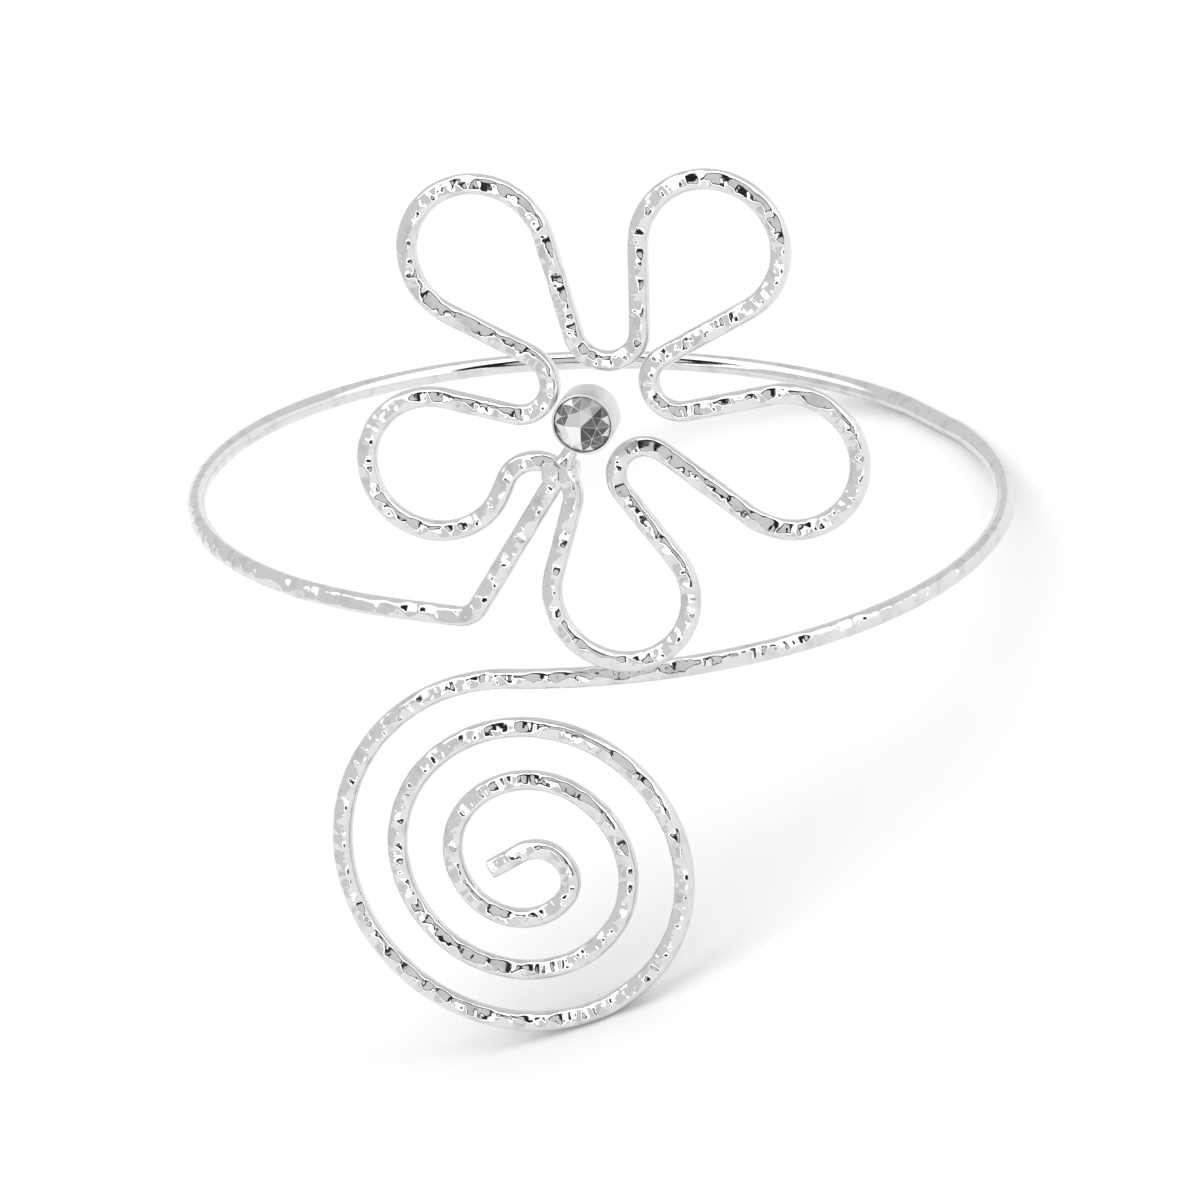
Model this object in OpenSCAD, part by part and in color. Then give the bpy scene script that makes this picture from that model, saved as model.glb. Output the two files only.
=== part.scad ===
// Upper arm cuff bent from one round wire. An open band goes round the arm.
// Its left end turns up as a strut and carries a five-petal flower of the same
// wire, with one round stone. Its right end runs on into a flat spiral.
// Millimetres. The cuff is drawn as worn, with the arm along Z and the flower
// towards -Y, and is then leaned and rolled onto the two bends it rests on.

/* [Wire and arm band] */
// Diameter of the round wire
wire_d = 2.1; // [1.6:0.1:3.2]
// Clear width inside the band, where the arm goes
arm_clear_d = 84.5; // [70:0.5:105]
// How far the flower's end of the band climbs over its front quarter
flower_end_rise = 2.4; // [0:0.1:5]
// Angle before the front at which the band's flower end runs straight
flower_end_angle = 15; // [12:1:20]
// Straight length from there to the corner under the strut
lead_length = 6.8; // [4:0.1:9]
// How far the spiral's end of the band drops on its way to the front
spiral_end_drop = 4.4; // [4:0.1:8]
// Angle before the front at which that drop begins
drop_angle = 115; // [100:1:120]

/* [Strut] */
// Radius of the corner bend, to the middle of the wire
corner_bend_r = 2.6; // [2:0.1:5]
// Angle of the strut above the horizontal
strut_angle = 60; // [50:0.5:70]
// Straight length of the strut, from the corner bend to the flower
strut_length = 17.4; // [16:0.1:26]
// Angle about the middle of the soldered bend at which the strut meets it
meeting_angle = 49; // [40:1:70]

/* [Flower] */
// Distance from the middle of the flower to the middle of a petal's round end
petal_reach = 20; // [17:0.5:26]
// Share of that distance that the radius of a petal's round end takes
petal_share = 0.3525; // [0.25:0.0025:0.37]
// Share of it that the radius of the bends between the petals takes
valley_share = 0.16; // [0.13:0.005:0.17]

/* [Spiral] */
// Radius of the spiral's first bends, to the middle of the wire
spiral_r = 19.1; // [17:0.1:26]
// Angle that the shoulder between band and spiral turns through
shoulder_angle = 53.5; // [40:0.5:70]
// Distance from one turn of the spiral to the next
spiral_pitch = 5.8; // [4.6:0.1:6.2]
// Number of quarter turns after the shoulder
spiral_quarters = 10; // [6:1:10]
// Radius of the last small bend
eye_r = 3.3; // [2:0.1:4.2]
// Angle of the last small bend
eye_angle = 156; // [90:1:170]
// Straight length of the cut tip
tip_length = 3.9; // [0.5:0.1:5]

/* [Stone and setting] */
// Width of the round stone
stone_d = 5.6; // [4:0.1:6.4]
// Height of the stone's crown over its girdle
crown_h = 0.9; // [0.5:0.1:1.5]
// Thickness of the stone's girdle
girdle_h = 0.3; // [0.2:0.1:0.6]
// Depth of the stone's point under its girdle
pavilion_h = 1.9; // [1.2:0.1:2.4]
// Share of the stone's width that its flat table takes
table_share = 0.58; // [0.4:0.01:0.7]
// Thickness of the cup's wall round the stone
cup_wall = 0.25; // [0.2:0.05:0.6]
// Depth of the cup from its back to its rim
cup_depth = 3.5; // [3.2:0.1:5]
// How far the cup's rim stands over the girdle
cup_lip = 0.15; // [0.05:0.05:0.3]
// Gap all round between the stone and its cup
stone_gap = 0.05; // [0.02:0.01:0.12]
// Diameter of the short post that holds the cup
post_d = 1.5; // [1:0.1:2.2]
// Distance from the solder joint to the middle of the cup
cup_reach = 6.9; // [5.5:0.1:8]
// Direction of the cup from the solder joint, above the horizontal
cup_angle = 64; // [50:1:80]
// How far the bead of solder at the joint stands over the wire
solder_over = 0.35; // [0.2:0.05:0.7]

/* [Rest] */
// Angle the cuff rolls towards the flower's side before it balances
rest_roll = 24; // [0:1:30]
// Half of the angle of the band that is straightened where the cuff stands
rest_turn = 8; // [6:0.5:9]
// Radius of the two small bends beside that straight
rest_bend_r = 10; // [8:1:14]

/* [Hidden] */
$fn = 96;

wire_r = wire_d / 2;
band_r = arm_clear_d / 2 + wire_r;
petal_r = petal_share * petal_reach;
valley_r = valley_share * petal_reach;
solder_d = wire_d + 2 * solder_over;

// A ball a hair wider than the wire closes each joint of two lengths of wire,
// which stop a hair short of each other inside it.
joint_r = wire_r * 1.015;
joint_slack = 0.05;

UP = [0, 0, 1];
TO_VIEWER = [0, -1, 0];
FROM_VIEWER = [0, 1, 0];

// The petals, one row each, anticlockwise from the upper right one. Angles are
// about the middle of the flower. The reaches are shares of petal_reach and the
// valley share is one of valley_r. A row's valley is the bend after its petal.
ANGLE = 0;
REACH = 1;
VALLEY_ANGLE = 2;
VALLEY_REACH = 3;
VALLEY_SHARE = 4;
petals = [
    [61, 1.04, 91.5, 0.475, 1.05],
    [128.5, 1.05, 160.5, 0.49, 1.03],
    [198, 0.93, 228.5, 0.55, 1.10],
    [273, 0.92, 303.5, 0.335, 0.97],
    [350, 0.91, 392, 0.415, 0.95],
];
// The row whose valley is soldered to the strut
SOLDERED = 2;

function unit(v) = v / norm(v);
function polar(a, r) = [r * cos(a), r * sin(a)];
function wrap(a) = a - 360 * floor(a / 360);

// A point or a direction of the front plane, from its sideways and upward parts
function in_front(p, y) = [p[0], y, p[1]];

// A length of wire is a row: its radius, the angle that it turns through and
// the normal that it turns about. A straight has no radius and a length instead.
RADIUS = 0;
TURN = 1;
NORMAL = 2;
STRAIGHT = 0;
function is_straight(row) = row[RADIUS] == STRAIGHT;
function inward(heading, row) = cross(row[NORMAL], heading);
function end_point(start, heading, row) =
    is_straight(row)
        ? start + row[TURN] * heading
        : start + row[RADIUS] * sin(row[TURN]) * heading
            + row[RADIUS] * (1 - cos(row[TURN])) * inward(heading, row);
function end_heading(heading, row) =
    is_straight(row) ? heading : cos(row[TURN]) * heading + sin(row[TURN]) * inward(heading, row);

// Where a chain of rows stands before its row number n: its point and heading
POINT = 0;
HEADING = 1;
function along(start, rows, n, i = 0) =
    i == n
        ? start
        : along([end_point(start[POINT], start[HEADING], rows[i]), end_heading(start[HEADING], rows[i])],
                rows, n, i + 1);

// Draws one length of wire from a point, with the ball at its start
module wire(start, heading, row) {
    side = is_straight(row) ? unit(cross(heading, [0.1, 0.2, 0.3])) : inward(heading, row);
    up = cross(heading, side);
    multmatrix([
        [heading[0], side[0], up[0], start[0]],
        [heading[1], side[1], up[1], start[1]],
        [heading[2], side[2], up[2], start[2]],
        [0, 0, 0, 1],
    ]) {
        rotate([0, 90, 0])
            sphere(r = joint_r);
        if (is_straight(row)) {
            translate([joint_slack, 0, 0])
                rotate([0, 90, 0])
                    cylinder(r = wire_r, h = row[TURN] - 2 * joint_slack);
        } else {
            slack = joint_slack / row[RADIUS] * 180 / PI;
            translate([0, row[RADIUS], 0])
                rotate([0, 0, slack - 90])
                    rotate_extrude(angle = row[TURN] - 2 * slack)
                        translate([row[RADIUS], 0])
                            circle(r = wire_r);
        }
    }
}

module chain(start, rows) {
    for (i = [0:len(rows) - 1]) {
        here = along(start, rows, i);
        wire(here[POINT], here[HEADING], rows[i]);
    }
}

// The flower's end of the band climbs in a plane tipped about its first
// tangent, runs straight to the corner and turns up into the strut.
left_side = [[-band_r, 0, 0], TO_VIEWER];
climb = asin(flower_end_rise / band_r);
strut_way = [cos(strut_angle), 0, sin(strut_angle)];
quarter = [band_r, 90 - flower_end_angle, [-sin(climb), 0, cos(climb)]];
lead = [STRAIGHT, lead_length];
lead_heading = end_heading(left_side[HEADING], quarter);
corner = [corner_bend_r, acos(lead_heading * strut_way), unit(cross(lead_heading, strut_way))];
strut = [STRAIGHT, strut_length];
flower_end = [quarter, lead, corner, strut];
solder_point = along(left_side, flower_end, len(flower_end))[POINT];

// The rest of the band goes round the back and drops in another tipped plane,
// to arrive at the front level with the plane of the spiral.
right_side = [[-band_r, 0, 0], FROM_VIEWER];
back = [band_r, 270 - drop_angle, -UP];
drop_start = along(right_side, [back], 1);
tip_down = asin(spiral_end_drop / (band_r * (1 - cos(drop_angle))));
drop_inward = cos(tip_down) * inward(drop_start[HEADING], back) - sin(tip_down) * UP;
drop_turn = atan2(sin(drop_angle), cos(tip_down) * cos(drop_angle));
drop = [band_r, drop_turn, cross(drop_start[HEADING], drop_inward)];
shoulder = [spiral_r, shoulder_angle, TO_VIEWER];
turns = [for (q = [0:spiral_quarters - 1]) [spiral_r - q * spiral_pitch / 4, 90, TO_VIEWER]];
eye = [eye_r, eye_angle, TO_VIEWER];
tip = [STRAIGHT, tip_length];
spiral_end = concat([back, drop, shoulder], turns, [eye, tip]);

// The flower's own plane, where its soldered valley meets the strut's end
function petal_centre(i) = polar(petals[i][ANGLE], petals[i][REACH] * petal_reach);
function valley_centre(i) = polar(petals[i][VALLEY_ANGLE], petals[i][VALLEY_REACH] * petal_reach);
function valley_radius(i) = petals[i][VALLEY_SHARE] * valley_r;
flower_y = solder_point[1];
flower_centre = [solder_point[0], solder_point[2]] - valley_centre(SOLDERED)
    - polar(meeting_angle, valley_radius(SOLDERED));

// Direction from petal i in which a straight leaves it for valley j. The side
// is 1 on the petal's anticlockwise flank and -1 on its clockwise one.
function touch_angle(i, j, side) =
    let (way = valley_centre(j) - petal_centre(i))
        atan2(way[1], way[0]) - side * acos((petal_r + valley_radius(j)) / norm(way));

// One petal as four lengths of wire: round end, straight, valley and straight
function petal_rows(i) =
    let (
        n = len(petals),
        after = (i + 1) % n,
        enter = touch_angle(i, (i + n - 1) % n, -1),
        leave = touch_angle(i, i, 1),
        next = touch_angle(after, i, -1),
        out = norm(petal_centre(i) + polar(leave, petal_r) - valley_centre(i) + polar(leave, valley_radius(i))),
        back_out = norm(petal_centre(after) + polar(next, petal_r)
            - valley_centre(i) + polar(next, valley_radius(i)))
    ) [
        [petal_r, wrap(leave - enter), TO_VIEWER],
        [STRAIGHT, out],
        [valley_radius(i), wrap(leave - next), FROM_VIEWER],
        [STRAIGHT, back_out],
    ];
function petal_start(i) =
    let (enter = touch_angle(i, (i + len(petals) - 1) % len(petals), -1)) [
        in_front(flower_centre + petal_centre(i) + polar(enter, petal_r), flower_y),
        in_front(polar(enter + 90, 1), 0),
    ];

// The setting, along its own axis from the cup's back to the front
cup_centre = [solder_point[0], solder_point[2]] + polar(cup_angle, cup_reach);
seat_r = stone_d / 2 + stone_gap;
cup_r = seat_r + cup_wall;
girdle_top = cup_depth - cup_lip;
girdle_low = girdle_top - girdle_h;
point_low = girdle_low - pavilion_h;
well_r = seat_r / 8;

// The rest pose. The cuff stands on the back of its band and on the spiral's
// second quarter, and both touch the ground at the same lean. The band is
// straight for a short way there and the spiral has a flat on its underside,
// which keeps the cuff from rolling sideways.
STANDING = 4;
standing_start = along(right_side, spiral_end, STANDING);
standing_centre = standing_start[POINT]
    + spiral_end[STANDING][RADIUS] * inward(standing_start[HEADING], spiral_end[STANDING]);
spiral_depth = standing_centre[0] * sin(rest_roll) - standing_centre[2] * cos(rest_roll)
    + spiral_end[STANDING][RADIUS];
front_y = -standing_centre[1];
side_sink = band_r * sin(rest_roll);
slack_2 = pow(spiral_depth, 2) - pow(side_sink, 2);
rest_lean = atan(slack_2 / (spiral_depth * front_y
    + sqrt(pow(spiral_depth * front_y, 2) + (pow(band_r, 2) - pow(front_y, 2)) * slack_2)));
rest_slope = norm([sin(rest_lean), sin(rest_roll) * cos(rest_lean)]);
rest_height = band_r * rest_slope + wire_r;
rest_flat = (band_r - rest_bend_r) * (1 - cos(rest_turn)) * rest_slope + wire_r - joint_r;
rest_back = norm([band_r * cos(rest_lean), side_sink * sin(rest_lean)]);
rest_front = front_y * cos(rest_lean) + spiral_depth * sin(rest_lean);
right_petal = flower_centre + petal_centre(0);
rest_right = right_petal[0] * cos(rest_roll) + right_petal[1] * sin(rest_roll) + petal_r;
rest_left = band_r * cos(rest_roll);
rest_move = [(rest_left - rest_right) / 2, (rest_front - rest_back) / 2, rest_height - rest_flat];
ground_w = 6 * band_r;

// The back of the band, with the straight about its lowest point
lowest_angle = atan2(sin(rest_lean), cos(rest_lean) * sin(rest_roll));
back_rows = [
    [band_r, 180 - lowest_angle - rest_turn, -UP],
    [rest_bend_r, rest_turn, -UP],
    [STRAIGHT, 2 * (band_r - rest_bend_r) * sin(rest_turn)],
    [rest_bend_r, rest_turn, -UP],
    [band_r, lowest_angle - rest_turn + 90 - drop_angle, -UP],
];

module at_rest() {
    translate(rest_move)
        rotate([-rest_lean, 0, 0])
            rotate([0, rest_roll, 0])
                children();
}

// The ground of the rest pose, as it lies under the cuff drawn as worn
module ground() {
    rotate([0, -rest_roll, 0])
        rotate([rest_lean, 0, 0])
            translate(-rest_move - [ground_w / 2, ground_w / 2, wire_d])
                cube([ground_w, ground_w, wire_d]);
}

// The spiral's end of the wire, with the flat under the bend it stands on
module standing_chain() {
    chain(right_side, back_rows);
    for (i = [1:len(spiral_end) - 1]) {
        here = along(right_side, spiral_end, i);
        if (i == STANDING) {
            difference() {
                wire(here[POINT], here[HEADING], spiral_end[i]);
                ground();
            }
        } else {
            wire(here[POINT], here[HEADING], spiral_end[i]);
        }
    }
}

module at_cup() {
    translate(in_front(cup_centre, flower_y))
        rotate([90, 0, 0])
            children();
}

module cup() {
    at_cup()
        rotate_extrude()
            polygon([
                [0, 0],
                [cup_r, 0],
                [cup_r, cup_depth],
                [seat_r, cup_depth],
                [seat_r, girdle_low - stone_gap],
                [well_r, point_low - stone_gap],
                [0, point_low - stone_gap],
            ]);
}

module post() {
    translate(in_front([solder_point[0], solder_point[2]], flower_y - post_d / 2))
        rotate([0, 90 - cup_angle, 0])
            cylinder(d = post_d, h = cup_reach);
}

module solder() {
    translate(solder_point)
        rotate([0, -strut_angle, 0])
            sphere(d = solder_d);
}

module cuff() {
    color("silver")
        at_rest() {
            chain(left_side, flower_end);
            standing_chain();
            for (i = [0:len(petals) - 1])
                chain(petal_start(i), petal_rows(i));
            difference() {
                post();
                at_cup()
                    cylinder(r = cup_r - cup_wall / 2, h = cup_depth);
            }
            cup();
            solder();
        }
}

// A round brilliant crown over a plain pavilion
module stone() {
    FACETS = 8;
    thin = 0.01;
    color("lightcyan")
        at_rest()
            at_cup()
                hull() {
                    translate([0, 0, girdle_top + crown_h - thin])
                        cylinder(d = stone_d * table_share, h = thin, $fn = FACETS);
                    translate([0, 0, girdle_top + crown_h * 0.55])
                        rotate([0, 0, 180 / FACETS])
                            cylinder(d = stone_d * (1 + table_share) / 2, h = thin, $fn = FACETS);
                    translate([0, 0, girdle_low])
                        cylinder(d = stone_d, h = girdle_h, $fn = 2 * FACETS);
                    translate([0, 0, point_low])
                        cylinder(d = thin, h = thin, $fn = FACETS);
                }
}

cuff();
stone();
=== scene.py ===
"""Upper arm cuff of hammered silver-tone wire: band, spiral, flower, setting and stone."""

import math
import random

import bmesh
import bpy
import numpy as np
from mathutils import Matrix, Vector


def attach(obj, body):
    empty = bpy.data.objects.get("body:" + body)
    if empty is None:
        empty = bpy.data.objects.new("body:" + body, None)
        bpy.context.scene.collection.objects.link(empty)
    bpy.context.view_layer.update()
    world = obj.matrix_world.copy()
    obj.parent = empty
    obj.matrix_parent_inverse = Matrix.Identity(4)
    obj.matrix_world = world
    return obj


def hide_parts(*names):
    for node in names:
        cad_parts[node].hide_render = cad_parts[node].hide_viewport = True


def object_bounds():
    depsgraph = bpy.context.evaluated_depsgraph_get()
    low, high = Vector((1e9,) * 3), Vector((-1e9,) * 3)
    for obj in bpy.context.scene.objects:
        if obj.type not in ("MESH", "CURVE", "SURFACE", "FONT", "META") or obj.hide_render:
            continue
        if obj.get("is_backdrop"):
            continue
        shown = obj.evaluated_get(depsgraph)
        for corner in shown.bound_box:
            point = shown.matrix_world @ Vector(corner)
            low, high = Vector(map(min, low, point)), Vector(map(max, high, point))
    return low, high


bl_info = {
    "name": "Upper arm cuff",
    "version": (1, 0, 0),
    "blender": (4, 5, 0),
    "location": "3D View > Sidebar > Arm Cuff",
    "description": "Builds a hammered wire arm cuff with a spiral and a flower, and its studio",
    "category": "Object",
}

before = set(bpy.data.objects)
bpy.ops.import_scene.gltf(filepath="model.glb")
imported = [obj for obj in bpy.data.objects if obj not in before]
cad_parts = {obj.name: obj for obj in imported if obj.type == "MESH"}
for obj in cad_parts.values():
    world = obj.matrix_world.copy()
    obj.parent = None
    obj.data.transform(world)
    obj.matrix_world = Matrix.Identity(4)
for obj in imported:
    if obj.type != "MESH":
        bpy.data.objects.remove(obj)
cad_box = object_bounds()

UP = Vector((0, 0, 1))
TO_VIEWER = Vector((0, -1, 0))
FROM_VIEWER = Vector((0, 1, 0))
UPPER_LEFT = Vector((-1, 0, 1)).normalized()

# The petals, anticlockwise from the upper right one: angle about the flower's middle, reach as a
# share of petal_reach, then the same two for the bend after the petal, and its share of their radius.
PETALS = (
    (61.0, 1.04, 91.5, 0.475, 1.05),
    (128.5, 1.05, 160.5, 0.49, 1.03),
    (198.0, 0.93, 228.5, 0.55, 1.10),
    (273.0, 0.92, 303.5, 0.335, 0.97),
    (350.0, 0.91, 392.0, 0.415, 0.95),
)
SOLDERED = 2  # the row whose bend is soldered to the strut
STANDING = 4  # the bend of the spiral, counted from the band's left side, that the cuff stands on
JOINT = 1.015  # how many times as wide as the wire the balls in its solids are

# The ranges that each blow of the hammer is drawn from: shares of the hammer's settings, and the
# nicks' reach to each side in degrees.
BLOW_GAPS = (0.5, 1.5)
BLOW_DEPTHS = (0.45, 1.0)
BLOW_DOMES = (0.5, 1.6)
NICK_DEPTHS = (0.4, 1.0)
NICK_WIDTHS = (0.7, 1.3)
NICK_REACHES = (9, 24)
NICK_SKEWS = (-3, 3)

# Painted reflections and glints in the stone: the brightness of each facet, dealt anticlockwise from its
# right: through the table, where the facets of the point show, then the crown's upper and lower facets.
TABLE_REFLECTION_TONES = (0.12, 0.70, 0.60, 0.60, 1.00, 1.00, 0.08, 0.06)
CROWN_REFLECTION_TONES = (0.12, 0.55, 0.10, 0.08, 0.70, 0.85, 0.10, 0.08)
GIRDLE_REFLECTION_TONES = (
    0.70, 0.10, 0.80, 0.50, 0.20, 0.90, 0.10, 0.75, 0.15, 0.60, 0.80, 0.50, 0.90, 0.15, 0.10, 0.70,
)
# Painted highlight: a bright tone on the thin faces along each facet edge.
BORDER_HIGHLIGHT_TONE = 0.85  # the thin bright lines where two facets meet
FACETS = 8  # facets in each row of the crown
MID_HEIGHT = 0.55  # share of the crown's height at which its upper row of facets begins


def length(name, default, description):
    return bpy.props.FloatProperty(
        name=name, description=description, default=default, min=0.0, precision=5,
        unit="LENGTH", subtype="DISTANCE",
    )


def angle(name, degrees, description):
    return bpy.props.FloatProperty(
        name=name, description=description, default=math.radians(degrees), unit="ROTATION", subtype="ANGLE",
    )


def number(name, default, description, low=0.0, high=1.0):
    return bpy.props.FloatProperty(
        name=name, description=description, default=default, min=low, max=high,
    )


def count(name, default, description):
    return bpy.props.IntProperty(name=name, description=description, default=default, min=1)


def colour(name, default, description):
    return bpy.props.FloatVectorProperty(
        name=name, description=description, default=default, size=4, min=0.0, max=1.0, subtype="COLOR",
    )


class ArmCuffSizes(bpy.types.PropertyGroup):
    """Real sizes of the wire, the band, the flower, the spiral and the setting."""

    wire_d: length("Wire", 0.0021, "Diameter of the round wire")
    arm_clear_d: length("Clear width", 0.0845, "Clear width inside the band")
    flower_end_rise: length(
        "Flower end rise", 0.0024, "Climb of the band's flower end over its front quarter",
    )
    flower_end_angle: angle(
        "Flower end angle", 15, "Angle before the front where the flower end runs straight",
    )
    lead_length: length("Lead", 0.0068, "Straight length before the corner under the strut")
    spiral_end_drop: length(
        "Spiral end drop", 0.0044, "Drop of the band's spiral end on its way to the front",
    )
    drop_angle: angle("Drop angle", 115, "Angle before the front at which that drop begins")
    corner_bend_r: length("Corner bend", 0.0026, "Radius of the corner under the strut")
    strut_angle: angle("Strut angle", 60, "Angle of the strut above the horizontal")
    strut_length: length("Strut", 0.0174, "Straight length of the strut")
    meeting_angle: angle(
        "Meeting angle", 49, "Angle about the soldered bend's middle where the strut meets it",
    )
    petal_reach: length("Petal reach", 0.020, "Distance from the flower's middle to a petal's round end")
    petal_share: number(
        "Petal share", 0.3525, "Share of the petal reach that a petal's round end takes as radius",
    )
    valley_share: number(
        "Valley share", 0.16, "Share of the petal reach that the bends between petals take as radius",
    )
    spiral_r: length("Spiral radius", 0.0191, "Radius of the spiral's first bends")
    shoulder_angle: angle("Shoulder angle", 53.5, "Angle that the shoulder before the spiral turns through")
    spiral_pitch: length("Spiral pitch", 0.0058, "Distance from one turn to the next")
    spiral_quarters: count("Quarter turns", 10, "Quarter turns of the spiral after the shoulder")
    eye_r: length("Eye radius", 0.0033, "Radius of the last small bend")
    eye_angle: angle("Eye angle", 156, "Angle of the last small bend")
    tip_length: length("Tip", 0.0039, "Straight length of the cut tip")
    stone_d: length("Stone", 0.0056, "Width of the round stone")
    crown_h: length("Crown", 0.0009, "Height of the stone's crown over its girdle")
    girdle_h: length("Girdle", 0.0003, "Thickness of the stone's girdle")
    pavilion_h: length("Pavilion", 0.0019, "Depth of the stone's point under its girdle")
    table_share: number("Table share", 0.58, "Share of the stone's width that its table takes")
    cup_wall: length("Cup wall", 0.00025, "Thickness of the cup's wall")
    cup_depth: length("Cup depth", 0.0035, "Depth of the cup from its back to its rim")
    cup_lip: length("Cup lip", 0.00015, "How far the cup's rim stands over the girdle")
    stone_gap: length("Stone gap", 0.00005, "Gap between the stone and its cup")
    post_d: length("Post", 0.0015, "Diameter of the post that holds the cup")
    cup_reach: length("Cup reach", 0.0069, "Distance from the solder joint to the cup's middle")
    cup_angle: angle("Cup angle", 64, "Direction of the cup from the solder joint")
    solder_w: length("Solder width", 0.0036, "Width of the two patches of solder together")
    solder_over: length("Solder", 0.00035, "How far the solder stands over the wire")
    rest_roll: angle("Rest roll", 24, "Angle the cuff rolls towards the flower's side before it balances")
    rest_turn: angle(
        "Rest turn", 8, "Half of the angle of the band that is straightened where the cuff stands",
    )
    rest_bend_r: length("Rest bend", 0.010, "Radius of the two small bends beside that straight")


class ArmCuffHammer(bpy.types.PropertyGroup):
    """The hammer marks on the front of the wire."""

    seed: count("Seed", 7, "Seed of the hammer marks")
    spacing: length("Spacing", 0.00065, "Mean distance from one hammer mark to the next")
    depth: length("Depth", 0.00023, "Greatest depth of a hammer mark")
    face_radius: length("Face radius", 0.0034, "Radius of the hammer's domed face along the wire")
    spread: angle("Spread", 26, "Angle to each side of the hammered face that the marks reach")
    lean: angle("Lean", 12, "Angle that the hammered face leans to the upper left")
    tilt: number("Tilt", 0.2, "Greatest slope of a hammer mark along the wire")
    nick_spacing: length("Nick spacing", 0.0011, "Mean distance from one nick to the next")
    nick_depth: length("Nick depth", 0.00009, "Greatest depth of a nick from the hammer's edge")
    nick_width: length("Nick width", 0.00014, "Width of a nick along the wire")
    shoulder_angle: angle(
        "Shoulder reach", 72, "Angle before the front at which the hammering starts on the band",
    )
    ring_step: length("Ring step", 0.00013, "Distance between the mesh's rings on hammered wire")
    smooth_step: length("Smooth step", 0.0008, "Distance between the mesh's rings on smooth wire")
    sides: count("Sides", 32, "Points in each ring")


class ArmCuffFinish(bpy.types.PropertyGroup):
    """Colours and gloss."""

    silver: colour("Silver", (0.73, 0.73, 0.73, 1.0), "Colour of the polished wire")
    silver_dark: colour("Silver, dull", (0.58, 0.58, 0.58, 1.0), "Colour of the wire's dull spots")
    solder: colour("Solder", (0.70, 0.70, 0.70, 1.0), "Colour of the solder")
    polish: number("Polish", 0.045, "Roughness of the polished wire")
    # The stone's two colours are painted reflections: the darkest reflection and the brightest glint in its
    # facets.
    stone_reflection_dark: colour("Stone, dark", (0.004, 0.004, 0.005, 1.0), "Darkest facet of the stone")
    stone_reflection_light: colour("Stone, light", (1.0, 1.0, 1.0, 1.0), "Lightest facet of the stone")
    floor: colour("Floor", (0.90, 0.90, 0.90, 1.0), "Colour of the floor")


class ArmCuffStudio(bpy.types.PropertyGroup):
    """The camera's place, given for the cuff as worn, and the light."""

    azimuth: angle("Azimuth", 13, "Camera's angle to the right of the cuff's front")
    elevation: angle("Elevation", 21.39, "Camera's angle above the band's plane")
    roll: angle("Roll", -0.82, "Camera's roll")
    distance: length("Distance", 0.600, "Distance from the camera to the point it looks at")
    aim_right: length("Aim right", 0.00027, "How far left of the band's middle the camera looks")
    aim_down: length("Aim down", 0.01169, "How far below the band's middle the camera looks")
    field: angle("Field of view", 12.24, "Width of the camera's view")
    tent: number("Tent", 0.80, "Brightness of the light tent", high=5.0)
    gap: number("Gap", 0.02, "Brightness of the dark gap over the camera", high=5.0)
    panel: number("Panel", 2.0, "Brightness of the panel over that gap", high=10.0)
    side_gap: number(
        "Side gap", 0.03, "Brightness of the narrow gaps beside and under the camera", high=5.0,
    )
    key: number("Key", 0.3, "Strength of the soft light from above", high=10.0)
    key_width: angle("Key width", 100, "Angle that the soft light from above takes up")
    floor_w: length("Floor width", 6.0, "Width of the floor")


# The wire as a chain of bends and straights

class Bend:
    """A length of wire: a radius, the angle it turns through and the normal it turns about."""

    def __init__(self, radius, turn, normal):
        self.radius, self.turn, self.normal = radius, turn, normal
        self.length = radius * turn

    def at(self, start, heading, s):
        """The point and heading at a distance s from the start."""
        a = s / self.radius
        inward = self.normal.cross(heading)
        point = start + self.radius * (math.sin(a) * heading + (1 - math.cos(a)) * inward)
        return point, math.cos(a) * heading + math.sin(a) * inward

    def centre(self, start, heading):
        return start + self.radius * self.normal.cross(heading)


class Straight:
    """A straight length of wire."""

    def __init__(self, length_):
        self.length = length_

    def at(self, start, heading, s):
        return start + s * heading, heading


def along(start, heading, rows):
    """The point and heading at the end of a chain of rows."""
    for row in rows:
        start, heading = row.at(start, heading, row.length)
    return start, heading


def polar(a, r):
    return Vector((r * math.cos(a), r * math.sin(a)))


def in_front(p, y):
    return Vector((p[0], y, p[1]))


def flower_end(z):
    """The chain from the band's left side to the solder joint, with its start."""
    band_r = (z.arm_clear_d + z.wire_d) / 2
    climb = math.asin(z.flower_end_rise / band_r)
    strut_way = Vector((math.cos(z.strut_angle), 0, math.sin(z.strut_angle)))
    start, heading = Vector((-band_r, 0, 0)), TO_VIEWER
    quarter = Bend(band_r, math.pi / 2 - z.flower_end_angle, Vector((-math.sin(climb), 0, math.cos(climb))))
    way = quarter.at(start, heading, quarter.length)[1]
    corner = Bend(z.corner_bend_r, way.angle(strut_way), way.cross(strut_way).normalized())
    return start, heading, [quarter, Straight(z.lead_length), corner, Straight(z.strut_length)]


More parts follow.
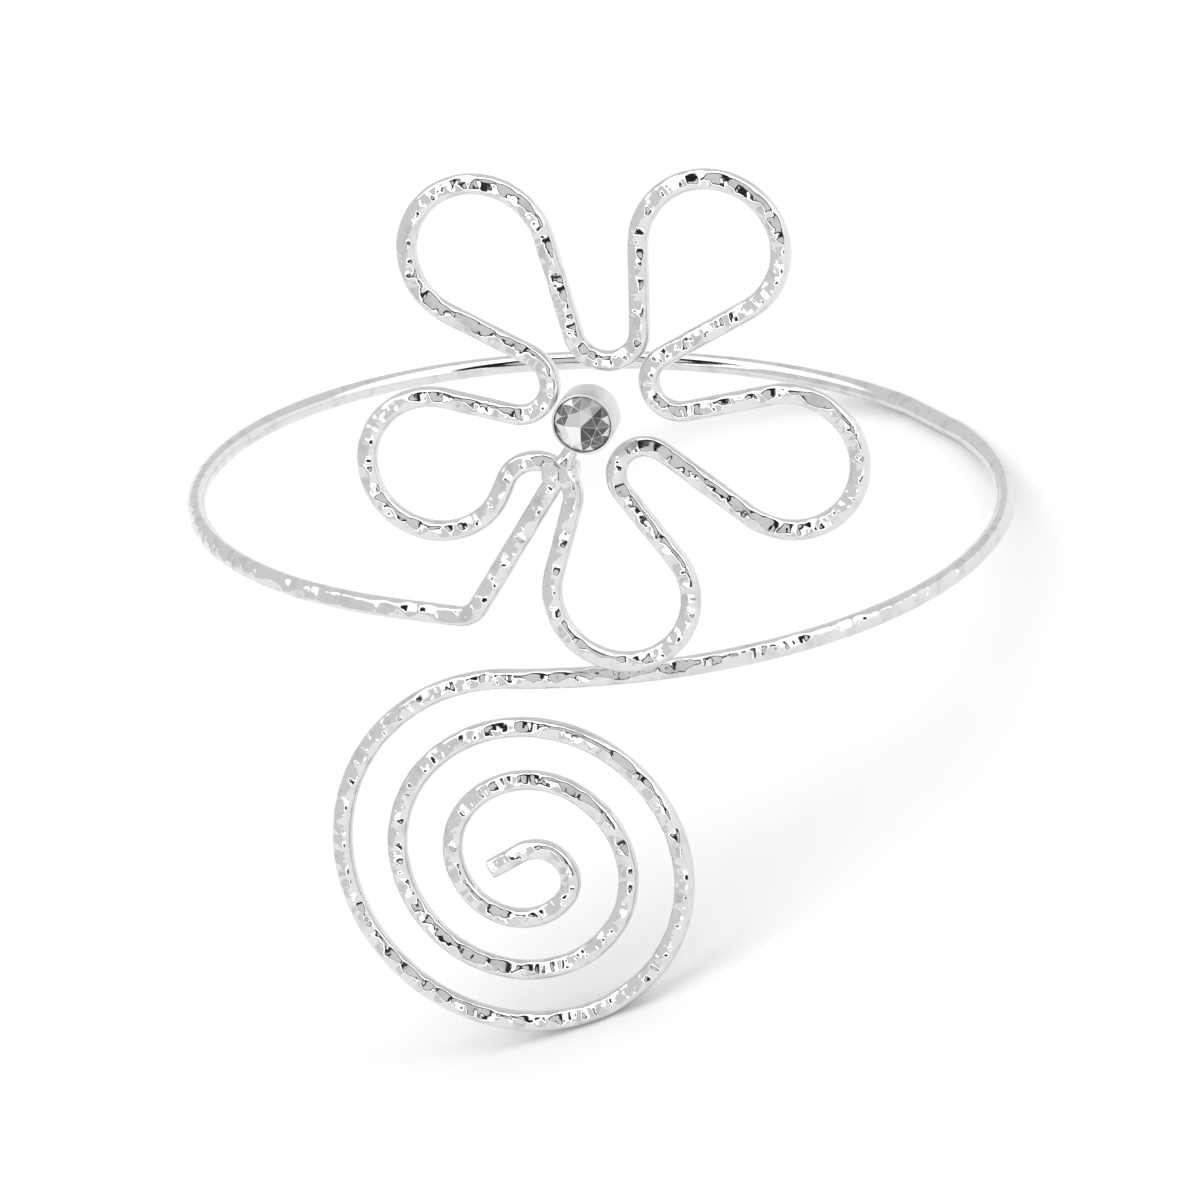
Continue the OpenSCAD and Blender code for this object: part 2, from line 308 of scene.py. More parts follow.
def spiral_end(z):
    """The chain from the band's left side round the back to the spiral's tip, with its start."""
    band_r = (z.arm_clear_d + z.wire_d) / 2
    start, heading = Vector((-band_r, 0, 0)), FROM_VIEWER
    back = Bend(band_r, 1.5 * math.pi - z.drop_angle, -UP)
    way = back.at(start, heading, back.length)[1]
    tip_down = math.asin(z.spiral_end_drop / (band_r * (1 - math.cos(z.drop_angle))))
    inward = math.cos(tip_down) * (-UP).cross(way) - math.sin(tip_down) * UP
    turn = math.atan2(math.sin(z.drop_angle), math.cos(tip_down) * math.cos(z.drop_angle))
    drop = Bend(band_r, turn, way.cross(inward))
    shoulder = Bend(z.spiral_r, z.shoulder_angle, TO_VIEWER)
    turns = [
        Bend(z.spiral_r - q * z.spiral_pitch / 4, math.pi / 2, TO_VIEWER) for q in range(z.spiral_quarters)
    ]
    eye = Bend(z.eye_r, z.eye_angle, TO_VIEWER)
    return start, heading, [back, drop, shoulder, *turns, eye, Straight(z.tip_length)]


def solder_point(z):
    return along(*flower_end(z))[0]


def flower_chain(z):
    """The closed chain of petals and valleys, with its start."""
    n = len(PETALS)
    petal_r = z.petal_share * z.petal_reach
    petals = [polar(math.radians(p[0]), p[1] * z.petal_reach) for p in PETALS]
    valleys = [polar(math.radians(p[2]), p[3] * z.petal_reach) for p in PETALS]
    radii = [p[4] * z.valley_share * z.petal_reach for p in PETALS]

    def touch(i, j, side):
        way = valleys[j] - petals[i]
        return math.atan2(way[1], way[0]) - side * math.acos((petal_r + radii[j]) / way.length)

    rows = []
    for i in range(n):
        after = (i + 1) % n
        enter, leave, following = touch(i, i - 1, -1), touch(i, i, 1), touch(after, i, -1)
        out = petals[i] + polar(leave, petal_r + radii[i]) - valleys[i]
        back_out = petals[after] + polar(following, petal_r + radii[i]) - valleys[i]
        rows += [
            Bend(petal_r, (leave - enter) % math.tau, TO_VIEWER),
            Straight(out.length),
            Bend(radii[i], (leave - following) % math.tau, FROM_VIEWER),
            Straight(back_out.length),
        ]
    joint = solder_point(z)
    centre = Vector((joint.x, joint.z)) - valleys[SOLDERED] - polar(z.meeting_angle, radii[SOLDERED])
    enter = touch(0, n - 1, -1)
    start = in_front(centre + petals[0] + polar(enter, petal_r), joint.y)
    return start, in_front(polar(enter + math.pi / 2, 1), 0), rows, centre + petals[0]


def back_rows(z):
    """The back of the band, with the short straight that it stands on."""
    band_r = (z.arm_clear_d + z.wire_d) / 2
    lean = rest_pose(z)[0]
    lowest = math.atan2(math.sin(lean), math.cos(lean) * math.sin(z.rest_roll))
    return [
        Bend(band_r, math.pi - lowest - z.rest_turn, -UP),
        Bend(z.rest_bend_r, z.rest_turn, -UP),
        Straight(2 * (band_r - z.rest_bend_r) * math.sin(z.rest_turn)),
        Bend(z.rest_bend_r, z.rest_turn, -UP),
        Bend(band_r, lowest - z.rest_turn + math.pi / 2 - z.drop_angle, -UP),
    ]


def rest_pose(z):
    """The lean of the cuff at rest, and the matrix from how it is worn to how it rests."""
    wire_r = z.wire_d / 2
    band_r = z.arm_clear_d / 2 + wire_r
    start, heading, rows = spiral_end(z)
    standing = rows[STANDING]
    centre = standing.centre(*along(start, heading, rows[:STANDING]))
    depth = centre.x * math.sin(z.rest_roll) - centre.z * math.cos(z.rest_roll) + standing.radius
    front = -centre.y
    side_sink = band_r * math.sin(z.rest_roll)
    slack = depth**2 - side_sink**2
    root = math.sqrt((depth * front) ** 2 + (band_r**2 - front**2) * slack)
    lean = math.atan(slack / (depth * front + root))
    slope = math.hypot(math.sin(lean), math.sin(z.rest_roll) * math.cos(lean))
    flat = (band_r - z.rest_bend_r) * (1 - math.cos(z.rest_turn)) * slope - wire_r * (JOINT - 1)
    height = band_r * slope + wire_r - flat
    back = math.hypot(band_r * math.cos(lean), side_sink * math.sin(lean))
    fore = front * math.cos(lean) + depth * math.sin(lean)
    right_petal = flower_chain(z)[3]
    petal_r = z.petal_share * z.petal_reach
    right = right_petal.x * math.cos(z.rest_roll) + right_petal.y * math.sin(z.rest_roll) + petal_r
    left = band_r * math.cos(z.rest_roll)
    move = Matrix.Translation(((left - right) / 2, (fore - back) / 2, height))
    return lean, move @ Matrix.Rotation(-lean, 4, "X") @ Matrix.Rotation(z.rest_roll, 4, "Y")


def rest_matrix(z):
    return rest_pose(z)[1]


# Meshes

def finished(name, mesh, z, material, nodes):
    mesh.transform(rest_matrix(z))
    for vertex in mesh.vertices:
        vertex.co.z = max(vertex.co.z, 0.0)
    mesh.update()
    piece = bpy.data.objects.new(name, mesh)
    bpy.context.scene.collection.objects.link(piece)
    mesh.materials.append(material)
    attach(piece, "root")
    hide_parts(*nodes)
    return piece


class Stroke:
    """Rings to be swept: their points, headings, outward sides, distances and whether hammered."""

    def __init__(self):
        self.points, self.headings, self.outs, self.marks, self.hammered = [], [], [], [], []
        self.reach = 0.0

    def draw(self, start, heading, row, step, hammered, outward, first=0.0, reverse=False):
        """Adds the rings of one row, from the distance first to its end."""
        span = row.length - first
        n = max(2, math.ceil(span / step))
        for k in range(n):
            s = span * k / n
            point, way = row.at(start, heading, row.length - s if reverse else first + s)
            way = -way if reverse else way
            out = outward(point, way)
            self.points.append(point)
            self.headings.append(way)
            self.outs.append((out - out.dot(way) * way).normalized())
            self.marks.append(self.reach + s)
            self.hammered.append(hammered)
        self.reach += span


def outward_of_arm(point, way):
    """The side away from the arm on the band, and towards the viewer at the front."""
    return Vector((point.x, point.y, 0))


def towards_viewer(point, way):
    return TO_VIEWER


def blow_places(stroke, spacing, rng):
    """The rings that the blows land on, irregularly spaced along the hammered stretches."""
    marks = np.array(stroke.marks)
    s = 0.0
    while s < stroke.reach:
        ring = min(int(np.searchsorted(marks, s)), len(marks) - 1)
        if stroke.hammered[ring]:
            yield ring
        s += spacing * rng.uniform(*BLOW_GAPS)


def hammered_radii(stroke, hammer, wire_r, closed, seed):
    """The distance from the wire's middle to its surface, for each ring and side."""
    rng = random.Random(seed)
    around = np.linspace(0, math.tau, hammer.sides, endpoint=False)
    radii = np.full((len(stroke.points), hammer.sides), wire_r)
    marks = np.array(stroke.marks)

    def face_angle(ring):
        """The angle round the wire of the hammered face, which leans to the upper left."""
        across = stroke.headings[ring].cross(stroke.outs[ring])
        return hammer.lean * UPPER_LEFT.dot(across)

    def run_from(ring):
        run = marks - marks[ring]
        return (run + stroke.reach / 2) % stroke.reach - stroke.reach / 2 if closed else run

    for ring in blow_places(stroke, hammer.spacing, rng):
        turn = face_angle(ring) + hammer.spread * rng.uniform(-1, 1)
        depth = hammer.depth * rng.uniform(*BLOW_DEPTHS)
        dome = hammer.face_radius * rng.uniform(*BLOW_DOMES)
        slope = hammer.tilt * rng.uniform(-1, 1)
        run = run_from(ring)
        near = np.nonzero(np.abs(run) < 2 * math.sqrt(2 * dome * depth))[0]
        level = wire_r - depth + slope * run[near] + run[near] ** 2 / (2 * dome)
        facing = np.cos(around - turn)
        cut = level[:, None] / np.where(facing > 0.2, facing, 0.001)[None, :]
        radii[near] = np.minimum(radii[near], cut)

    for ring in blow_places(stroke, hammer.nick_spacing, rng):
        turn = face_angle(ring) + hammer.spread * rng.uniform(-1, 1)
        depth = hammer.nick_depth * rng.uniform(*NICK_DEPTHS)
        width = hammer.nick_width * rng.uniform(*NICK_WIDTHS)
        wide = math.radians(rng.uniform(*NICK_REACHES))
        skew = hammer.nick_width * rng.uniform(*NICK_SKEWS)
        run = run_from(ring)
        near = np.nonzero(np.abs(run) < 6 * width)[0]
        off = (around - turn + math.pi) % math.tau - math.pi
        along_run = (run[near][:, None] - skew * off[None, :]) / width
        radii[near] -= depth * np.exp(-along_run**2 - (off[None, :] / wide) ** 2)
    return radii


def swept_mesh(name, stroke, radii, closed):
    """Joins the rings of a stroke into one closed mesh."""
    sides = radii.shape[1]
    points = np.array(stroke.points)
    outs = np.array(stroke.outs)
    across = np.cross(np.array(stroke.headings), outs)
    around = np.linspace(0, math.tau, sides, endpoint=False)
    ring = np.cos(around)[None, :, None] * outs[:, None] + np.sin(around)[None, :, None] * across[:, None]
    verts = (points[:, None] + radii[:, :, None] * ring).reshape(-1, 3)
    n = len(points)
    faces = []
    for i in range(n if closed else n - 1):
        a, b = i * sides, (i + 1) % n * sides
        faces += [(a + k, a + (k + 1) % sides, b + (k + 1) % sides, b + k) for k in range(sides)]
    if not closed:
        faces += [tuple(range(sides))[::-1], tuple(range((n - 1) * sides, n * sides))]
    mesh = bpy.data.meshes.new(name)
    mesh.from_pydata(verts.tolist(), [], faces)
    mesh.shade_smooth()
    return mesh


def lathe_mesh(name, profile, segments):
    """Turns a profile of (radius, height) about Z."""
    mesh = bpy.data.meshes.new(name)
    bm = bmesh.new()
    rings = []
    for radius, height in profile:
        ring = []
        for k in range(segments):
            a = math.tau * k / segments
            ring.append(bm.verts.new((radius * math.cos(a), radius * math.sin(a), height)))
        rings.append(ring)
    for low, high in zip(rings, rings[1:]):
        for k in range(segments):
            m = (k + 1) % segments
            bm.faces.new((low[k], low[m], high[m], high[k]))
    bm.faces.new(rings[0][::-1])
    bm.faces.new(rings[-1])
    bmesh.ops.recalc_face_normals(bm, faces=bm.faces)
    bm.to_mesh(mesh)
    bm.free()
    return mesh


def solder_mesh(z, joint):
    """Two flat hammered patches of solder, side by side on the soldered bend."""
    squareness = 0.4
    flat_front = -0.82
    dent_depth = 0.25
    rng = random.Random(3)
    bm = bmesh.new()
    over = z.wire_d / 2 + z.solder_over
    half = z.solder_w / 4
    for shift in (-half, half):
        patch = bmesh.ops.create_icosphere(bm, subdivisions=4, radius=1.0)["verts"]
        turn = Matrix.Rotation(rng.uniform(-0.08, 0.14), 3, "Y")
        dents = [(rng.uniform(-1, 1), rng.uniform(-1, 1), rng.uniform(0.2, 0.4)) for _ in range(5)]
        for v in patch:
            x, y, h = (math.copysign(abs(c) ** squareness, c) for c in v.co)
            dip = max(0.0, max(size - math.hypot(x - a, h - b) for a, b, size in dents))
            y = max(y, flat_front) + (dent_depth * dip if y < 0 else 0.0)
            v.co = joint + turn @ Vector((shift + x * half, y * over, h * z.wire_d / 2))
    bmesh.ops.recalc_face_normals(bm, faces=bm.faces)
    mesh = bpy.data.meshes.new("solder_bead")
    bm.to_mesh(mesh)
    bm.free()
    mesh.shade_smooth()
    return mesh


def cup_matrix(z):
    """Places what is drawn along Z, from the cup's back, in the flower's plane."""
    joint = solder_point(z)
    centre = Vector((joint.x, joint.z)) + polar(z.cup_angle, z.cup_reach)
    return Matrix.Translation(in_front(centre, joint.y)) @ Matrix.Rotation(math.pi / 2, 4, "X")


# Shader node groups and materials

def new_group(name, inputs, outputs):
    group = bpy.data.node_groups.new(name, "ShaderNodeTree")
    for label, kind, default in inputs:
        socket = group.interface.new_socket(name=label, in_out="INPUT", socket_type=kind)
        socket.default_value = default
    for label, kind in outputs:
        group.interface.new_socket(name=label, in_out="OUTPUT", socket_type=kind)
    return group, group.nodes.new("NodeGroupInput"), group.nodes.new("NodeGroupOutput")


def linked(tree, kind, links, **settings):
    """Adds a node, sets its properties, and feeds its inputs from sockets or values."""
    node = tree.nodes.new(kind)
    for key, value in settings.items():
        setattr(node, key, value)
    for key, value in links.items():
        if isinstance(value, bpy.types.NodeSocket):
            tree.links.new(value, node.inputs[key])
        else:
            node.inputs[key].default_value = value
    return node


def worn_polish_group():
    """Dull spots and faint scratches of handled silver plate."""
    name = "Worn polish"
    if name in bpy.data.node_groups:
        return bpy.data.node_groups[name]
    group, into, out = new_group(
        name,
        (
            ("Bright", "NodeSocketColor", (0.8, 0.8, 0.8, 1)),
            ("Dull", "NodeSocketColor", (0.6, 0.6, 0.6, 1)),
            ("Polish", "NodeSocketFloat", 0.1),
            ("Dullness", "NodeSocketFloat", 0.1),
            ("Spot Size", "NodeSocketFloat", 400.0),
        ),
        (("Color", "NodeSocketColor"), ("Roughness", "NodeSocketFloat"), ("Height", "NodeSocketFloat")),
    )
    place = linked(group, "ShaderNodeTexCoord", {}).outputs["Object"]
    spots = linked(
        group, "ShaderNodeTexNoise", {"Vector": place, "Scale": into.outputs["Spot Size"], "Detail": 4.0}
    )
    mask = linked(
        group, "ShaderNodeMapRange",
        {"Value": spots.outputs[0], "From Min": 0.5, "From Max": 0.75, "To Min": 0.0, "To Max": 1.0},
    ).outputs[0]
    grain = linked(group, "ShaderNodeTexNoise", {"Vector": place, "Scale": 2600.0, "Detail": 3.0})
    mixed = linked(
        group, "ShaderNodeMix",
        {0: mask, 6: into.outputs["Bright"], 7: into.outputs["Dull"]}, data_type="RGBA",
    )
    rough = linked(
        group, "ShaderNodeMath",
        {0: mask, 1: into.outputs["Dullness"], 2: into.outputs["Polish"]}, operation="MULTIPLY_ADD",
    )
    group.links.new(mixed.outputs[2], out.inputs["Color"])
    group.links.new(rough.outputs[0], out.inputs["Roughness"])
    group.links.new(grain.outputs[0], out.inputs["Height"])
    return group


def metal(name, bright, dull, polish, dullness, spot_size, grain):
    """A silver-tone metal with its own share of wear."""
    material = bpy.data.materials.new(name)
    material.use_nodes = True
    tree = material.node_tree
    shader = tree.nodes["Principled BSDF"]
    shader.inputs["Metallic"].default_value = 1.0
    wear = tree.nodes.new("ShaderNodeGroup")
    wear.node_tree = worn_polish_group()
    wear.inputs["Bright"].default_value = bright
    wear.inputs["Dull"].default_value = dull
    wear.inputs["Polish"].default_value = polish
    wear.inputs["Dullness"].default_value = dullness
    wear.inputs["Spot Size"].default_value = spot_size
    bump = linked(
        tree, "ShaderNodeBump",
        {"Strength": grain, "Distance": 0.00002, "Height": wear.outputs["Height"]},
    )
    tree.links.new(wear.outputs["Color"], shader.inputs["Base Color"])
    tree.links.new(wear.outputs["Roughness"], shader.inputs["Roughness"])
    tree.links.new(bump.outputs[0], shader.inputs["Normal"])
    return material


def wire_metal(f):
    name = "silver_wire"
    if name in bpy.data.materials:
        return bpy.data.materials[name]
    return metal(name, f.silver, f.silver_dark, f.polish, dullness=0.12, spot_size=500.0, grain=0.12)


def stone_material(f):
    """The stone, drawn opaque: each facet has its own painted tone that stands for the reflections and
    glints in it, under a clear polish.
    """
    material = bpy.data.materials.new("faceted_stone")
    material.use_nodes = True
    tree = material.node_tree
    shader = tree.nodes["Principled BSDF"]
    tone = linked(tree, "ShaderNodeAttribute", {}, attribute_name="facet_painted_tone", attribute_type="GEOMETRY")
    place = linked(tree, "ShaderNodeTexCoord", {}).outputs["Object"]
    flaws = linked(tree, "ShaderNodeTexNoise", {"Vector": place, "Scale": 900.0, "Detail": 2.0})
    shifted = linked(
        tree, "ShaderNodeMath",
        {0: flaws.outputs[0], 1: 0.2, 2: tone.outputs["Fac"]}, operation="MULTIPLY_ADD",
    )
    centred = linked(tree, "ShaderNodeMath", {0: shifted.outputs[0], 1: 0.1}, operation="SUBTRACT")
    mixed = linked(
        tree, "ShaderNodeMix", {0: centred.outputs[0], 6: f.stone_reflection_dark, 7: f.stone_reflection_light}, data_type="RGBA"
    )
    # Painted reflections: the facet's tone, with a little noise, picks between the dark and the light
    # reflection colour.
    tree.links.new(mixed.outputs[2], shader.inputs["Base Color"])
    shader.inputs["Metallic"].default_value = 0.35
    shader.inputs["Roughness"].default_value = 0.08
    shader.inputs["Coat Weight"].default_value = 1.0
    shader.inputs["Coat Roughness"].default_value = 0.02
    return material


# Operators

def settings(context):
    scene = context.scene
    return scene.arm_cuff_sizes, scene.arm_cuff_hammer, scene.arm_cuff_finish, scene.arm_cuff_studio


class ARMCUFF_OT_band_and_spiral(bpy.types.Operator):
    """One wire: the strut, the band round the arm and the spiral"""

    bl_idname = "arm_cuff.band_and_spiral"
    bl_label = "Band and Spiral"

    def execute(self, context):
        z, hammer, finish, _ = settings(context)
        stroke = Stroke()
        start, heading, rows = flower_end(z)
        places = [along(start, heading, rows[:i]) for i in range(len(rows))]
        for i in (3, 2, 1):
            outward = towards_viewer
            stroke.draw(*places[i], rows[i], hammer.ring_step, True, outward, reverse=True)
        quarter = rows[0]
        band_r = quarter.radius
        smooth = max(0.0, math.pi / 2 - hammer.shoulder_angle) * band_r
        stroke.draw(*places[0], quarter, hammer.ring_step, True, outward_of_arm, first=smooth, reverse=True)
        calm = Bend(band_r, smooth / band_r, quarter.normal)
        stroke.draw(*places[0], calm, hammer.smooth_step, False, outward_of_arm, reverse=True)
        start, heading, rows = spiral_end(z)
        back = back_rows(z)
        for i, row in enumerate(back):
            stroke.draw(*along(start, heading, back[:i]), row, hammer.smooth_step, False, outward_of_arm)
        here = along(start, heading, rows[:1])
        drop = rows[1]
        smooth = drop.length - hammer.shoulder_angle * band_r
        calm = Bend(band_r, smooth / band_r, drop.normal)
        stroke.draw(*here, calm, hammer.smooth_step, False, outward_of_arm)
        stroke.draw(*here, drop, hammer.ring_step, True, outward_of_arm, first=smooth)
        for i in range(2, len(rows)):
            stroke.draw(*along(start, heading, rows[:i]), rows[i], hammer.ring_step, True, towards_viewer)
        radii = hammered_radii(stroke, hammer, z.wire_d / 2, False, hammer.seed)
        mesh = swept_mesh("band_and_spiral", stroke, radii, False)
        finished("band_and_spiral", mesh, z, wire_metal(finish), ["cuff"])
        return {"FINISHED"}


class ARMCUFF_OT_flower(bpy.types.Operator):
    """The five petals, one closed loop of hammered wire"""

    bl_idname = "arm_cuff.flower"
    bl_label = "Flower"

    def execute(self, context):
        z, hammer, finish, _ = settings(context)
        start, heading, rows, _ = flower_chain(z)
        stroke = Stroke()
        for i, row in enumerate(rows):
            stroke.draw(*along(start, heading, rows[:i]), row, hammer.ring_step, True, towards_viewer)
        radii = hammered_radii(stroke, hammer, z.wire_d / 2, True, hammer.seed + 1)
        mesh = swept_mesh("flower", stroke, radii, True)
        finished("flower", mesh, z, wire_metal(finish), ["cuff"])
        return {"FINISHED"}


class ARMCUFF_OT_setting(bpy.types.Operator):
    """The cup round the stone, its post and the patches of solder"""

    bl_idname = "arm_cuff.setting"
    bl_label = "Setting"

    def execute(self, context):
        z, _, finish, _ = settings(context)
        seat = z.stone_d / 2 + z.stone_gap
        outer = seat + z.cup_wall
        low = z.cup_depth - z.cup_lip - z.girdle_h - z.stone_gap
        soft = z.cup_wall / 2
        rim = [
            (seat + soft * (1 + math.cos(a)), z.cup_depth - soft + soft * math.sin(a))
            for a in np.linspace(0, math.pi, 7)
        ]
        profile = [(outer - soft, 0), (outer, soft), *rim, (seat, low), (seat / 8, low - z.pavilion_h)]
        mesh = lathe_mesh("setting_cup", profile, 64)
        mesh.transform(cup_matrix(z))
        mesh.shade_smooth()
        mesh.set_sharp_from_angle(angle=math.radians(40))
        bright = metal(
            "silver_cup", finish.silver, finish.silver,
            polish=0.3, dullness=0.05, spot_size=700.0, grain=0.2,
        )
        finished("setting_cup", mesh, z, bright, ["cuff"])

        joint = solder_point(z)
        post_r = z.post_d / 2
        first = z.wire_d / 2
        reach = z.cup_reach - outer + z.cup_wall / 2 - first
        flare = 0.5
        post_profile = [
            (post_r * (1 + flare * (1 - t) ** 4), reach * t) for t in np.linspace(0, 1, 12)
        ]
        post = lathe_mesh("setting_post", post_profile, 24)
        post.transform(
            Matrix.Translation(joint + TO_VIEWER * post_r + in_front(polar(z.cup_angle, first), 0))
            @ Matrix.Rotation(math.pi / 2 - z.cup_angle, 4, "Y")
        )
        post.shade_smooth()
        dull = metal(
            "solder_metal", finish.solder, finish.silver_dark,
            polish=0.12, dullness=0.2, spot_size=900.0, grain=0.4,
        )
        finished("setting_post", post, z, dull, ["cuff"])

        bead = solder_mesh(z, joint)
        finished("solder_bead", bead, z, dull, ["cuff"])
        return {"FINISHED"}


class ARMCUFF_OT_stone(bpy.types.Operator):
    """The round stone, with a table and two rows of crown facets"""

    bl_idname = "arm_cuff.stone"
    bl_label = "Stone"

    def execute(self, context):
        z, _, finish, _ = settings(context)
        top = z.cup_depth - z.cup_lip
        low = top - z.girdle_h
        stone_r = z.stone_d / 2
        mid_share = (1 + z.table_share) / 2
        rings = (
            (stone_r * z.table_share, top + z.crown_h, FACETS, 0.0),
            (stone_r * mid_share, top + z.crown_h * MID_HEIGHT, FACETS, math.pi / FACETS),
            (stone_r, top, 2 * FACETS, 0.0),
            (stone_r, low, 2 * FACETS, 0.0),
        )
        mesh = bpy.data.meshes.new("stone")
        bm = bmesh.new()
        for radius, height, n, phase in rings:
            for k in range(n):
                bm.verts.new((*polar(phase + math.tau * k / n, radius), height))
        bm.verts.new((0, 0, low - z.pavilion_h))
        bmesh.ops.convex_hull(bm, input=bm.verts)
        bmesh.ops.dissolve_limit(bm, angle_limit=math.radians(0.5), verts=bm.verts, edges=bm.edges)
        bmesh.ops.recalc_face_normals(bm, faces=bm.faces)
        table = [face for face in bm.faces if face.normal.z > 0.99]
        bmesh.ops.poke(bm, faces=table, offset=0.0)
        # The inset rims are thin faces that carry a painted highlight along each facet edge.
        edges = set(bmesh.ops.inset_individual(bm, faces=bm.faces[:], thickness=0.00003)["faces"])
        bm.faces.index_update()
        highlight_borders = {face.index for face in edges}
        bm.to_mesh(mesh)
        bm.free()
        # Each facet gets a painted tone for the reflection or glint in it; the rims get the painted
        # highlight tone.
        tones = mesh.attributes.new("facet_painted_tone", "FLOAT", "FACE")
        for face in mesh.polygons:
            if face.index in highlight_borders:
                tones.data[face.index].value = BORDER_HIGHLIGHT_TONE
                continue
            if face.normal.z > 0.99:
                row = TABLE_REFLECTION_TONES
            elif face.center.z > top + z.crown_h * 0.4:
                row = CROWN_REFLECTION_TONES
            else:
                row = GIRDLE_REFLECTION_TONES
            turn = math.atan2(face.center.y, face.center.x) % math.tau / math.tau
            tones.data[face.index].value = row[int(turn * len(row)) % len(row)]
        mesh.transform(cup_matrix(z))
        finished("stone_facets", mesh, z, stone_material(finish), ["stone"])
        return {"FINISHED"}


class ARMCUFF_OT_stage(bpy.types.Operator):
    """The camera, the light tent and the pale floor"""

    bl_idname = "arm_cuff.stage"
    bl_label = "Stage"

    def execute(self, context):
        z, _, finish, studio = settings(context)
        context.scene.view_settings.view_transform = "Standard"
        eye = place_camera(z, studio)
        light_tent(studio, eye)
        floor = bpy.data.meshes.new("floor")
        half = studio.floor_w / 2
        corners = [(-half, -half, 0), (half, -half, 0), (half, half, 0), (-half, half, 0)]
        floor.from_pydata(corners, [], [(0, 1, 2, 3)])
        plane = bpy.data.objects.new("floor", floor)
        context.scene.collection.objects.link(plane)
        material = bpy.data.materials.new("pale_floor")
        material.use_nodes = True
        tree = material.node_tree
        shader = tree.nodes["Principled BSDF"]
        shader.inputs["Roughness"].default_value = 0.6
        place = linked(tree, "ShaderNodeTexCoord", {}).outputs["Object"]
        cloud = linked(tree, "ShaderNodeTexNoise", {"Vector": place, "Scale": 3.0})
        shade = linked(
            tree, "ShaderNodeMix",
            {0: cloud.outputs[0], 6: finish.floor, 7: [c * 0.985 for c in finish.floor[:3]] + [1.0]},
            data_type="RGBA",
        )
        tree.links.new(shade.outputs[2], shader.inputs["Base Color"])
        floor.materials.append(material)
        plane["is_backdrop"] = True
        return {"FINISHED"}


def place_camera(z, studio):
    """The camera stands at the photo's angle to the cuff, turned with it into the rest pose."""
    az, el, roll = studio.azimuth, studio.elevation, studio.roll
    ahead = Vector((-math.sin(az) * math.cos(el), math.cos(az) * math.cos(el), -math.sin(el)))
    right = Vector((math.cos(az), math.sin(az), 0))
    up = right.cross(ahead)
    side = right * math.cos(roll) + up * math.sin(roll)
    top = up * math.cos(roll) - right * math.sin(roll)
    aim = -right * studio.aim_right - up * studio.aim_down
    eye = aim - ahead * studio.distance
    worn = Matrix((
        (side.x, top.x, -ahead.x, eye.x),
        (side.y, top.y, -ahead.y, eye.y),
        (side.z, top.z, -ahead.z, eye.z),
        (0, 0, 0, 1),
    ))
    data = bpy.data.cameras.new("camera")
    data.angle = studio.field
    data.clip_start = 0.01
    data.clip_end = 50
    camera = bpy.data.objects.new("camera", data)
    bpy.context.scene.collection.objects.link(camera)
    camera.matrix_world = rest_matrix(z) @ worn
    bpy.context.scene.camera = camera
    return camera.matrix_world


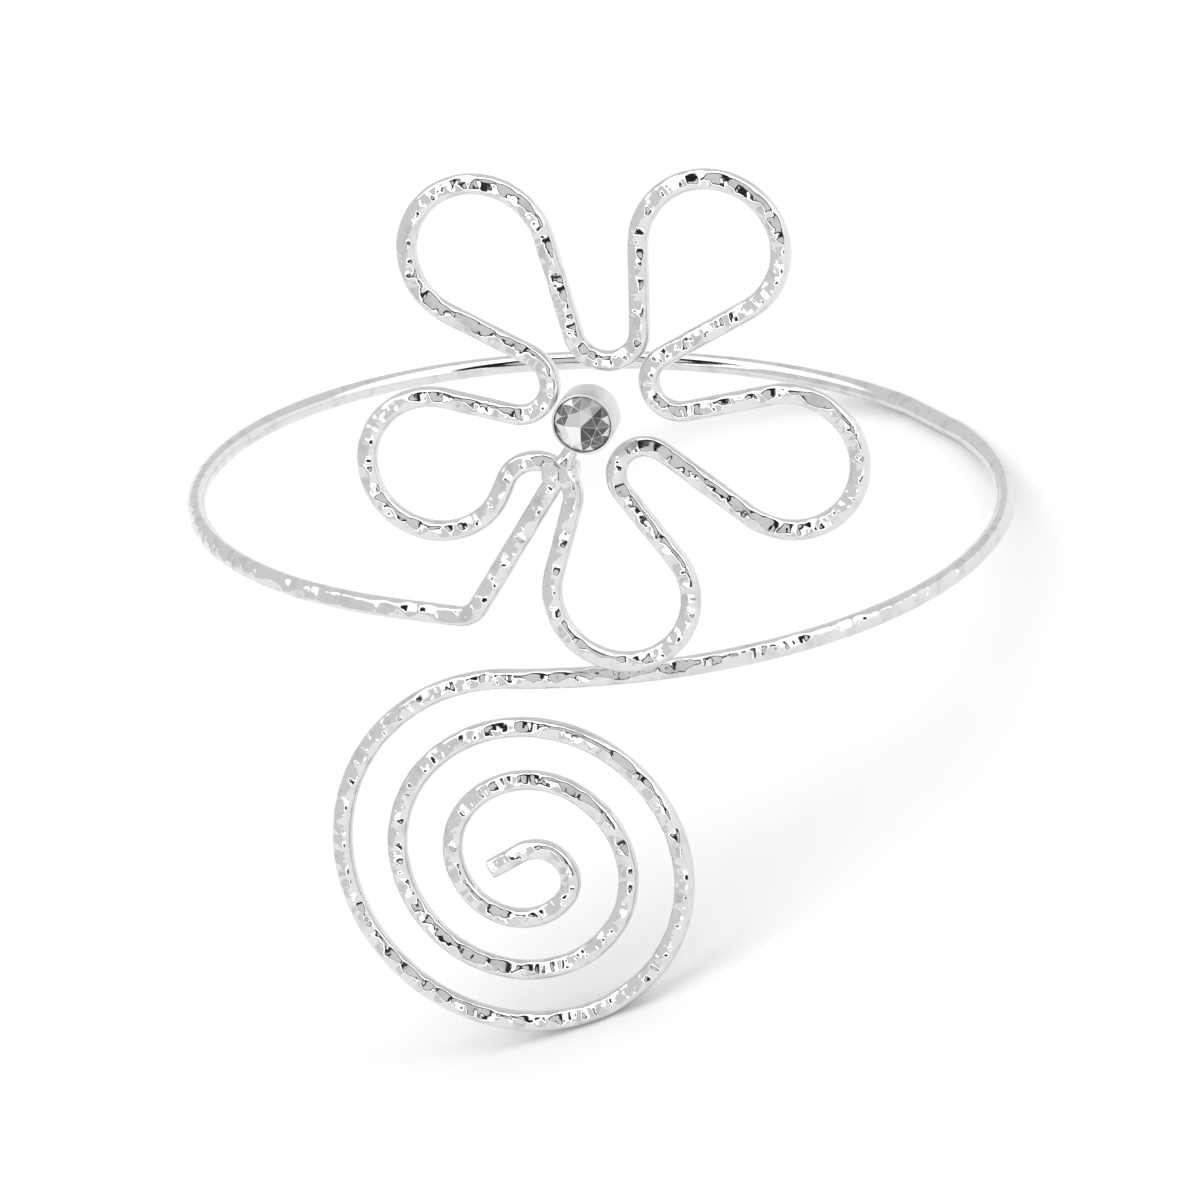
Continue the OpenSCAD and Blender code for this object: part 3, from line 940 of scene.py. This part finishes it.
def light_tent(studio, eye):
    """A white tent with bright panels and the narrow dark gaps between them."""
    world = bpy.data.worlds.new("light_tent")
    bpy.context.scene.world = world
    world.use_nodes = True
    tree = world.node_tree
    tree.nodes.clear()
    way = linked(tree, "ShaderNodeTexCoord", {}).outputs["Generated"]
    front = (eye.to_3x3() @ Vector((0, 0, 1))).normalized()
    above = (eye.to_3x3() @ Vector((0.2, 0.98, 0))).normalized()

    def dot(vector):
        product = linked(tree, "ShaderNodeVectorMath", {0: way, 1: vector}, operation="DOT_PRODUCT")
        return product.outputs["Value"]

    ring = linked(tree, "ShaderNodeMath", {0: dot(front)}, operation="ARCCOSINE").outputs[0]
    share = linked(tree, "ShaderNodeMath", {0: ring, 1: math.pi}, operation="DIVIDE").outputs[0]

    def rings(*stops):
        ramp = linked(tree, "ShaderNodeValToRGB", {"Fac": share})
        elements = ramp.color_ramp.elements
        while len(elements) < len(stops):
            elements.new(0.5)
        for element, (place, level) in zip(elements, stops):
            element.position = place
            element.color = (level, level, level, 1)
        return ramp.outputs[0]

    # The places are angles from the side that the camera is on, as shares of half a turn.
    upper = rings(
        (0.0, studio.tent), (0.14, studio.tent), (0.15, studio.gap), (0.225, studio.gap),
        (0.245, studio.panel), (0.42, studio.panel), (0.46, studio.tent), (1.0, studio.tent),
    )
    lower = rings(
        (0.0, studio.tent), (0.14, studio.tent), (0.15, studio.side_gap), (0.19, studio.side_gap),
        (0.20, studio.panel), (0.24, studio.panel), (0.26, studio.tent), (1.0, studio.tent),
    )
    side = linked(
        tree, "ShaderNodeMapRange",
        {"Value": dot(above), "From Min": -0.05, "From Max": 0.08, "To Min": 0.0, "To Max": 1.0},
    ).outputs[0]
    mixed = linked(tree, "ShaderNodeMix", {0: side, 6: lower, 7: upper}, data_type="RGBA")
    light = linked(tree, "ShaderNodeBackground", {"Color": mixed.outputs[2], "Strength": 1.0})
    out = tree.nodes.new("ShaderNodeOutputWorld")
    tree.links.new(light.outputs[0], out.inputs[0])
    key = bpy.data.lights.new("key", "SUN")
    key.energy = studio.key
    key.angle = studio.key_width
    lamp = bpy.data.objects.new("key", key)
    lamp.visible_glossy = False
    bpy.context.scene.collection.objects.link(lamp)


class ARMCUFF_PT_panel(bpy.types.Panel):
    bl_idname = "ARMCUFF_PT_panel"
    bl_label = "Arm Cuff"
    bl_space_type = "VIEW_3D"
    bl_region_type = "UI"
    bl_category = "Arm Cuff"

    def draw(self, context):
        for operator in OPERATORS:
            self.layout.operator(operator.bl_idname)
        for group in settings(context):
            box = self.layout.box()
            for key in group.__annotations__:
                box.prop(group, key)


OPERATORS = (
    ARMCUFF_OT_stage,
    ARMCUFF_OT_band_and_spiral,
    ARMCUFF_OT_flower,
    ARMCUFF_OT_setting,
    ARMCUFF_OT_stone,
)
GROUPS = {
    "arm_cuff_sizes": ArmCuffSizes,
    "arm_cuff_hammer": ArmCuffHammer,
    "arm_cuff_finish": ArmCuffFinish,
    "arm_cuff_studio": ArmCuffStudio,
}


def register():
    for name, group in GROUPS.items():
        bpy.utils.register_class(group)
        setattr(bpy.types.Scene, name, bpy.props.PointerProperty(type=group))
    for operator in OPERATORS:
        bpy.utils.register_class(operator)
    bpy.utils.register_class(ARMCUFF_PT_panel)


def unregister():
    bpy.utils.unregister_class(ARMCUFF_PT_panel)
    for operator in OPERATORS:
        bpy.utils.unregister_class(operator)
    for name, group in GROUPS.items():
        delattr(bpy.types.Scene, name)
        bpy.utils.unregister_class(group)


def main():
    register()
    bpy.ops.arm_cuff.stage()
    bpy.ops.arm_cuff.band_and_spiral()
    bpy.ops.arm_cuff.flower()
    bpy.ops.arm_cuff.setting()
    bpy.ops.arm_cuff.stone()
    boxes = {"cad": cad_box, "visual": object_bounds()}
    {name: [list(corner) for corner in box] for name, box in boxes.items()}


if __name__ == "__main__":
    main()
